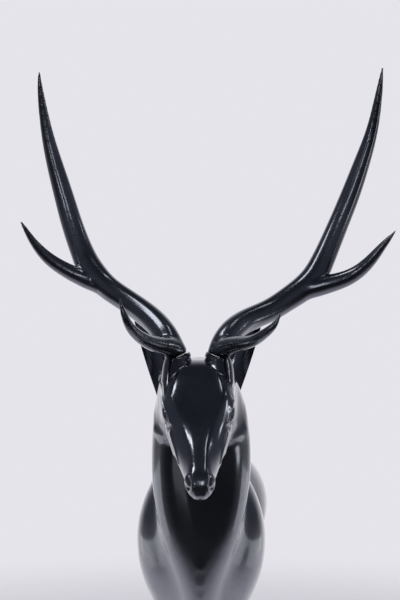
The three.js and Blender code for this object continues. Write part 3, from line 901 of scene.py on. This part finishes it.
# %% Collars
COLLAR_SIDES = 64
COLLAR_EDGE = 0.12
COLLAR_HEIGHT = 1.0
for side, antler in ((1, LEFT_ANTLER), (-1, RIGHT_ANTLER)):
    *centre, radius = antler["beam"][0]
    wide = radius + COLLAR_STEP / SHARE
    profile = (
        (-3.0, radius),
        (-COLLAR_HEIGHT - 0.2, radius),
        (-COLLAR_HEIGHT - 0.05, radius + 0.05),
        (-COLLAR_HEIGHT, wide - COLLAR_EDGE),
        (-COLLAR_HEIGHT + COLLAR_EDGE, wide),
        (-COLLAR_EDGE, wide),
        (0, wide - COLLAR_EDGE),
    )
    hoops = [
        placed(round_hoop(np.array(centre) + lean_of(side) * height, lean_of(side), ring, COLLAR_SIDES))
        for height, ring in profile
    ]
    united(stag, skin("collar", hoops))
print("With collars:", len(stag.data.polygons), "faces")

# %% [markdown]
# An antler is fused in the same way as the stag, from a beam and two tines. Its surface is tightly curved,
# so a last subdivision gives it finer faces. A bisect cuts it flat where it seats on its collar. Then faces
# without area are dissolved, and the mesh is validated, which drops any that an export would refuse.

# %% Antlers
ANTLER_VOXEL = 0.0012
SLIVER = 0.00001
# How far from its fork each tine is softened into the beam.
FORK_REACH = {"outer": 5, "brow": 6.5}


def make_antler(name, rows, side):
    """One antler, fused from its beam and two tines, and cut flat where it seats."""
    parts = [limb(key, rows[key], 6, 40, lean_of(side) if key == "beam" else None) for key in rows]
    forks = [(rows[key][1][:3], reach) for key, reach in FORK_REACH.items()]
    antler = fused(name, parts, ANTLER_VOXEL, 1, forks)
    finer = antler.modifiers.new("finer", "SUBSURF")
    finer.levels = finer.render_levels = 1
    apply(antler, finer)
    root = placed(rows["beam"][0][:3]) + lean_of(side) * SEAT_GAP
    only(antler)
    bpy.ops.object.mode_set(mode="EDIT")
    bpy.ops.mesh.select_all(action="SELECT")
    bpy.ops.mesh.bisect(plane_co=root, plane_no=lean_of(side), use_fill=True, clear_inner=True)
    bpy.ops.mesh.select_all(action="SELECT")
    bpy.ops.mesh.dissolve_degenerate(threshold=SLIVER)
    bpy.ops.mesh.normals_make_consistent(inside=False)
    bpy.ops.object.mode_set(mode="OBJECT")
    print(name, "needed mending:", antler.data.validate())
    return antler


antlers = {
    "antler_left": make_antler("left_antler", LEFT_ANTLER, 1),
    "antler_right": make_antler("right_antler", RIGHT_ANTLER, -1),
}
for piece in antlers.values():
    print(piece.name, "has", len(piece.data.polygons), "faces")

# %% [markdown]
# The plinth is a plain slab with round corners, like a cast and ground plate. Its corners are beveled in
# many steps and its edges in a few, so that both stay smooth.

# %% Plinth
PLINTH_CORNER = 0.034
PLINTH_EDGE = 0.0025
WEIGHT_NAME = "bevel_weight_edge"
low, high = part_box("base")
bpy.ops.object.select_all(action="DESELECT")
bpy.ops.mesh.primitive_cube_add(size=1)
plinth = bpy.context.object
plinth.name = "plinth"
plinth.data.transform(Matrix.LocRotScale((low + high) / 2, None, high - low))


def bevel(piece, name, width, segments, chosen):
    """Rounds the edges that are chosen by their two ends."""
    mesh = piece.data
    weights = mesh.attributes.get(WEIGHT_NAME) or mesh.attributes.new(WEIGHT_NAME, "FLOAT", "EDGE")
    for edge in mesh.edges:
        ends = [mesh.vertices[index].co for index in edge.vertices]
        weights.data[edge.index].value = float(chosen(*ends))
    rounding = piece.modifiers.new(name, "BEVEL")
    rounding.limit_method = "WEIGHT"
    rounding.width = width
    rounding.segments = segments
    apply(piece, rounding)


bevel(plinth, "corners", PLINTH_CORNER, 20, lambda a, b: abs(a.z - b.z) > 0.01)
bevel(plinth, "edges", PLINTH_EDGE, 4, lambda a, b: abs(a.z - b.z) < 0.001)
only(plinth)
bpy.ops.object.shade_smooth_by_angle(angle=math.radians(30))
print("The plinth has", len(plinth.data.polygons), "faces")

# %% [markdown]
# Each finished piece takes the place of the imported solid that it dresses. A statue has no joints, so all
# four ride on the root.

# %% Pieces and the frame
pieces = {"deer_body": stag, **antlers, "base": plinth}
for node, piece in pieces.items():
    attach(piece, "root")
    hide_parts(node)
print("Pieces:", {node: piece.name for node, piece in pieces.items()})

# %% [markdown]
# A shader graph is a web of nodes, and a web is hard to read as code. So a small class wraps a socket, and
# sums written with it add the Math nodes. Every other node comes from one method.


# %% Shader maths
class Wire:
    """A socket of a graph, whose sums add Math nodes."""

    def __init__(self, graph, socket):
        self.graph = graph
        self.socket = socket

    def maths(self, operation, first, second):
        return self.graph.node("Math", {0: first, 1: second}, operation=operation)

    def __add__(self, other):
        return self.maths("ADD", self, other)

    def __sub__(self, other):
        return self.maths("SUBTRACT", self, other)

    def __mul__(self, other):
        return self.maths("MULTIPLY", self, other)

    def __rsub__(self, other):
        return self.maths("SUBTRACT", other, self)

    __radd__ = __add__
    __rmul__ = __mul__

    def between(self, low, high):
        """0 at low and 1 at high, with a smooth way between."""
        inputs = {"Value": self, "From Min": low, "From Max": high}
        return self.graph.node("MapRange", inputs, interpolation_type="SMOOTHSTEP")


class Graph:
    """The nodes of a material or a world."""

    def __init__(self, owner):
        owner.use_nodes = True
        self.tree = owner.node_tree

    def plug(self, socket, value):
        if isinstance(value, Wire):
            self.tree.links.new(value.socket, socket)
        else:
            socket.default_value = value

    def node(self, kind, inputs=(), output=0, **settings):
        """Adds a node: its settings first, then its inputs by name or number."""
        made = self.tree.nodes.new("ShaderNode" + kind)
        for name, value in settings.items():
            setattr(made, name, value)
        for name, value in dict(inputs).items():
            self.plug(made.inputs[name], value)
        return Wire(self, made.outputs[output])

    def blend(self, factor, first, second):
        """A mix of two colours."""
        inputs = {"Factor": factor, "A": first, "B": second}
        made = self.tree.nodes.new("ShaderNodeMix")
        made.data_type = "RGBA"
        for name, value in inputs.items():
            socket = next(s for s in made.inputs if s.name == name and s.enabled)
            self.plug(socket, value)
        return Wire(self, next(s for s in made.outputs if s.enabled))


# %% [markdown]
# The finish is a blue-black patina under wax, buffed until it mirrors. Paint would be plastic here, so the
# metal is a slightly rough bronze, and the wax is a clear coat over it. The colour is mottled a little, as
# a patina laid on hot metal by brush always is. The plinth is left more satin.


# %% Bronze
def bronze(name, dark, light, roughness, wax):
    """Patinated bronze: two colours to mottle between, the metal's roughness and the wax's."""
    material = bpy.data.materials.new(name)
    graph = Graph(material)
    shader = graph.tree.nodes["Principled BSDF"].inputs
    place = graph.node("TexCoord", output="Object")
    cloud = graph.node("TexNoise", {"Vector": place, "Scale": 14, "Detail": 5, "Roughness": 0.6})
    speck = graph.node("TexNoise", {"Vector": place, "Scale": 220, "Detail": 3})
    mottle = (cloud * 0.8 + speck * 0.2).between(0.35, 0.65)
    graph.plug(shader["Base Color"], graph.blend(mottle, (*dark, 1), (*light, 1)))
    graph.plug(shader["Roughness"], cloud * 0.2 + (roughness - 0.1))
    graph.plug(shader["Metallic"], 1.0)
    graph.plug(shader["Coat Weight"], 1.0)
    graph.plug(shader["Coat Roughness"], wax)
    graph.plug(shader["Coat IOR"], 1.4)
    buffing = graph.node("TexNoise", {"Vector": place, "Scale": 60, "Detail": 2})
    bump = graph.node("Bump", {"Height": buffing, "Strength": 0.03, "Distance": 0.0005})
    graph.plug(shader["Normal"], bump)
    return material


materials = {
    stag: ("patinated_bronze", bronze("body bronze", (0.16, 0.17, 0.205), (0.24, 0.25, 0.285), 0.16, 0.03)),
    plinth: ("plinth_bronze", bronze("plinth bronze", (0.05, 0.054, 0.07), (0.08, 0.085, 0.1), 0.4, 0.16)),
}
antler_bronze = bronze("antler bronze", (0.15, 0.16, 0.195), (0.22, 0.235, 0.275), 0.22, 0.07)
for piece in antlers.values():
    materials[piece] = ("antler_bronze", antler_bronze)
for piece, (slot, material) in materials.items():
    piece.data.materials.clear()
    piece.data.materials.append(material)
print("Materials:", [material.name for _, material in materials.values()])

# %% [markdown]
# The studio is what the bronze mirrors. The camera's side of the room and the ceiling over the stag are
# dark, and the paper behind it is bright, so the front stays black and the edges glow. The camera itself
# sees plain pale paper.

# %% Room
scene = bpy.context.scene
scene.view_settings.view_transform = "Standard"
PAPER = (0.79, 0.775, 0.83, 1)
LOW_FRONT = (0.03, 0.03, 0.035, 1)
FAR_WALL = (0.09, 0.095, 0.12, 1)
CEILING = (0.04, 0.043, 0.058, 1)
FAR_FLOOR = (0.27, 0.265, 0.28, 1)
room = bpy.data.worlds.new("studio")
scene.world = room
graph = Graph(room)
parts = graph.node("SeparateXYZ", {"Vector": graph.node("TexCoord", output="Generated")})
ahead, above = (Wire(graph, parts.socket.node.outputs[name]) for name in "YZ")
low = graph.blend(ahead.between(-0.4, 0.45), LOW_FRONT, FAR_FLOOR)
front = graph.blend(above.between(-0.2, 0.1), low, FAR_WALL)
front = graph.blend(above.between(0.4, 0.9), front, CEILING)
mirrored = graph.blend(ahead.between(0.45, 1.0), front, PAPER)
seen = graph.node("LightPath", output="Is Camera Ray")
background = graph.tree.nodes["Background"]
graph.plug(background.inputs["Color"], graph.blend(seen, mirrored, PAPER))
print("The room has", len(graph.tree.nodes), "nodes")

# %% [markdown]
# A seamless paper sweep has no edge that shows. A disc does the same if it fades out before its rim. It lies
# a little behind the stag, so that the chest mirrors the dark side of the room and not white paper. It has
# some glow of its own, in place of the room light that the dark surroundings leave out.

# %% Floor
FLOOR_REACH = 1.5
FLOOR_MIDDLE = (0, 0.45, 0)
FLOOR_FADE = (0.6, 1.2)
FLOOR_COLOUR = (0.62, 0.6, 0.63, 1)
FLOOR_GLOW = 0.62
bpy.ops.object.select_all(action="DESELECT")
bpy.ops.mesh.primitive_circle_add(
    vertices=128,
    radius=FLOOR_REACH,
    fill_type="NGON",
    location=FLOOR_MIDDLE,
)
floor = bpy.context.object
floor.name = "floor"
paper = bpy.data.materials.new("paper")
graph = Graph(paper)
shader = graph.tree.nodes["Principled BSDF"].inputs
graph.plug(shader["Base Color"], FLOOR_COLOUR)
graph.plug(shader["Roughness"], 0.9)
graph.plug(shader["Emission Color"], PAPER)
graph.plug(shader["Emission Strength"], FLOOR_GLOW)
place = graph.node("TexCoord", output="Object")
distance = graph.node("VectorMath", {0: place}, output="Value", operation="LENGTH")
graph.plug(shader["Alpha"], 1 - distance.between(*FLOOR_FADE))
floor.data.materials.append(paper)
print("The floor fades from", FLOOR_FADE[0], "to", FLOOR_FADE[1], "m")

# %% [markdown]
# Polished bronze shows a lamp as a clear shape, so each long highlight of the photograph is one softbox. Its
# direction was found by mirroring the view at the highlight. Two low walls of light brighten the flanks.

# %% Lights
LAMP_DISTANCE = 1.8
WALL_DISTANCE = 1.3
HEAD_PLACE = (0, -0.2, 0.45)
FLANK_PLACE = (0, -0.1, 0.28)


def softbox(name, toward, width, height, brightness, distance=LAMP_DISTANCE, aim=HEAD_PLACE):
    """A softbox in a direction from what it is aimed at. Its brightness is that of its face."""
    light = bpy.data.lights.new(name, "AREA")
    light.shape = "RECTANGLE"
    light.size = width
    light.size_y = height
    light.energy = brightness * math.pi * width * height
    lamp = bpy.data.objects.new(name, light)
    lamp.location = Vector(aim) + Vector(toward).normalized() * distance
    lamp.rotation_euler = (Vector(aim) - lamp.location).to_track_quat("-Z", "Y").to_euler()
    scene.collection.objects.link(lamp)


# Each: the way to it, its width, its height and its brightness.
softbox("upper left", (-0.45, -0.13, 0.88), 0.34, 0.95, 4)
softbox("upper right", (0.23, -0.02, 0.97), 0.5, 0.09, 3.5)
softbox("right strip", (0.96, 0.10, 0.27), 0.12, 0.3, 4)
softbox("right patch", (0.74, 0.14, 0.66), 0.12, 0.2, 2.5)
softbox("front", (0.06, -0.94, 0.30), 0.16, 0.7, 2.5)
softbox("front left", (-0.41, -0.90, 0.18), 0.14, 0.28, 4.5)
softbox("right side", (0.92, -0.2, -0.1), 0.3, 0.35, 1.5)
softbox("low left", (-0.62, -0.73, -0.24), 0.5, 0.16, 0.25, 1.2)
softbox("left wall", (-0.93, 0.38, -0.25), 1.0, 0.4, 0.6, WALL_DISTANCE, FLANK_PLACE)
softbox("right wall", (0.93, 0.38, -0.25), 1.0, 0.4, 0.6, WALL_DISTANCE, FLANK_PLACE)
